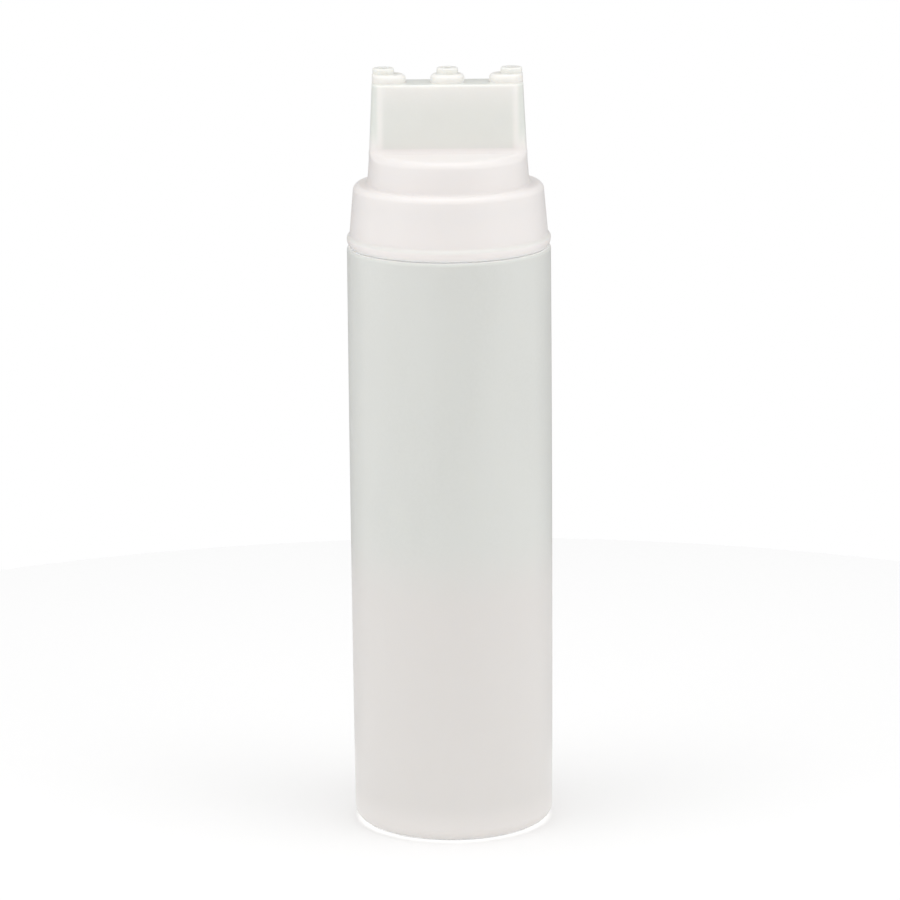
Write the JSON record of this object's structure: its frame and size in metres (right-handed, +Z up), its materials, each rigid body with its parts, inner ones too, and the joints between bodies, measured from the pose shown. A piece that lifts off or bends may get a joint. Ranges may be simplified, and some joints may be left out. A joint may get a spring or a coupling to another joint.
{
  "type": "dispensing squeeze bottle",
  "caption": "Tall translucent squeeze bottle with a screw-on head that carries dispensing tips in a row, for pouring sauce in parallel lines.",
  "frame": {"origin": "middle of the base, on the surface that the bottle stands on", "axes": "+Z up along the bottle's axis and the thread; +X along the row of tips; the pictured face of the flat block looks along -Y"},
  "size_m": [0.07, 0.07, 0.2651],
  "materials": {
    "natural_bottle": "milky translucent blow-moulded polyethylene, satin",
    "natural_head": "milky translucent injection-moulded polyethylene, satin",
    "gasket": "soft translucent silicone"
  },
  "bodies": {
    "body": {"bottle": "natural_bottle"},
    "gasket": {"neck_gasket": "gasket"},
    "head": {"dispensing_head": "natural_head"}
  },
  "joints": [
    {"name": "head_lift", "type": "slide", "parent": "body", "child": "gasket", "axis": [0, 0, 1], "range_m": [0, 0.00526]},
    {"name": "head_turn", "type": "hinge", "parent": "gasket", "child": "head", "pos_m": [0, 0, 0.215], "axis": [0, 0, 1], "range_deg": [0, 450]}
  ],
  "couplings": [
    {"joint": "head_lift", "follows": "head_turn", "m_per_rad": 0.00066845}
  ]
}
